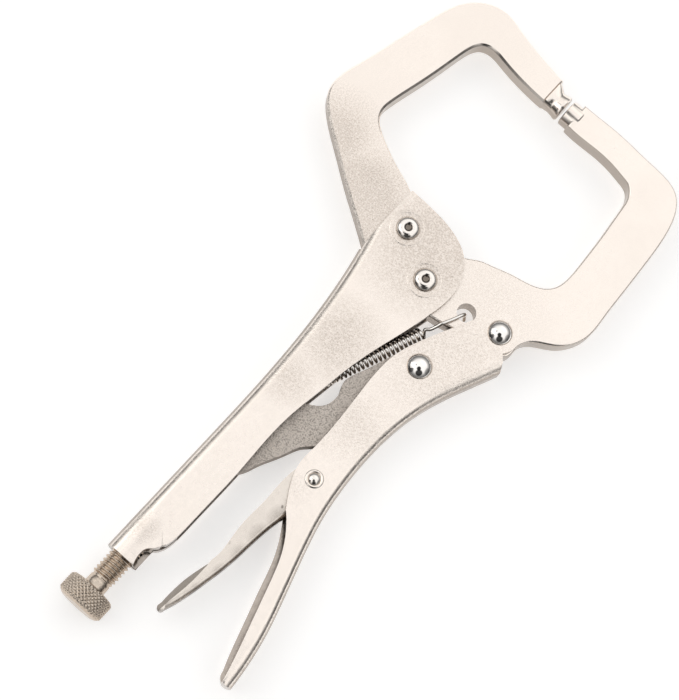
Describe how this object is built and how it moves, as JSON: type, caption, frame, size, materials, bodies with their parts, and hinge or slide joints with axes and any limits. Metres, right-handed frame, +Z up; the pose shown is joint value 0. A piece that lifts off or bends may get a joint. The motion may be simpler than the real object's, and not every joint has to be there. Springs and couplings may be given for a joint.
{
  "type": "locking c-clamp pliers",
  "caption": "Small locking C-clamp pliers: curved jaws with round pads, over-centre toggle, release lever and knurled adjusting screw; locked shut, lying flat.",
  "frame": {"origin": "centre of the plan outline, on the flat surface the pliers lie on", "axes": "+X along the adjusting screw's axis from the knob to the jaws, +Y from the lower handle towards the fixed jaw, +Z up along every hinge axis, out of the domed rivet heads"},
  "size_m": [0.1706, 0.0838, 0.0118],
  "materials": {
    "upper_handle": "bright nickel plate over pressed sheet, faint blasted grain",
    "fixed_jaw": "bright nickel plate, blasted grain near the root, polished tip",
    "fixed_jaw_rivet": "polished domed head with a centre dimple",
    "main_pivot_rivet": "polished domed head with a centre dimple",
    "moving_jaw": "bright nickel plate, softly polished",
    "lower_handle": "bright nickel plate over pressed sheet",
    "handle_pivot_rivet": "mirror-bright domed head",
    "toggle_link": "coarse blasted nickel plate",
    "link_rivet": "mirror-bright domed head",
    "release_lever": "satin nickel plate over pressed sheet",
    "lever_rivet": "small polished domed head",
    "adjusting_screw": "duller plated steel, diamond knurled knob, rolled thread",
    "screw_tip": "turned plated steel",
    "spring": "bright drawn spring wire"
  },
  "bodies": {
    "frame": {"upper_handle": "upper_handle", "fixed_jaw": "fixed_jaw", "fixed_jaw_rivet": "fixed_jaw_rivet", "main_pivot_rivet": "main_pivot_rivet", "spring": "spring"},
    "jaw": {"moving_jaw": "moving_jaw"},
    "handle": {"lower_handle": "lower_handle", "handle_pivot_rivet": "handle_pivot_rivet", "link_rivet": "link_rivet", "lever_rivet": "lever_rivet"},
    "link": {"toggle_link": "toggle_link"},
    "lever": {"release_lever": "release_lever"},
    "screw_slide": {"screw_tip": "screw_tip"},
    "screw": {"adjusting_screw": "adjusting_screw"}
  },
  "joints": [
    {"name": "jaw_hinge", "type": "hinge", "parent": "frame", "child": "jaw", "pos_m": [0.02174, -0.00543, 0.0059], "axis": [0, 0, -1], "range_deg": [0, 20], "deforming": ["spring"]},
    {"name": "handle_hinge", "type": "hinge", "parent": "jaw", "child": "handle", "pos_m": [0.02412, -0.02618, 0.0059], "axis": [0, 0, 1], "range_deg": [0, 59.54]},
    {"name": "link_hinge", "type": "hinge", "parent": "handle", "child": "link", "pos_m": [0.00559, -0.01778, 0.0059], "axis": [0, 0, -1], "range_deg": [0, 57.24]},
    {"name": "lever_hinge", "type": "hinge", "parent": "handle", "child": "lever", "pos_m": [-0.02986, -0.01738, 0.0059], "axis": [0, 0, 1], "range_deg": [0, 10]},
    {"name": "screw_travel", "type": "slide", "parent": "frame", "child": "screw_slide", "axis": [1, 0, 0], "range_m": [-0.012, 0.001]},
    {"name": "screw_spin", "type": "hinge", "parent": "screw_slide", "child": "screw", "pos_m": [-0.0782, 0.00242, 0.0059], "axis": [1, 0, 0], "range_deg": [-4320, 360]}
  ],
  "couplings": [
    {"joint": "handle_hinge", "follows": "jaw_hinge", "ratio": 2.9746},
    {"joint": "link_hinge", "follows": "jaw_hinge", "ratio": 2.8593},
    {"joint": "screw_travel", "follows": "screw_spin", "m_per_rad": 0.00015915}
  ]
}
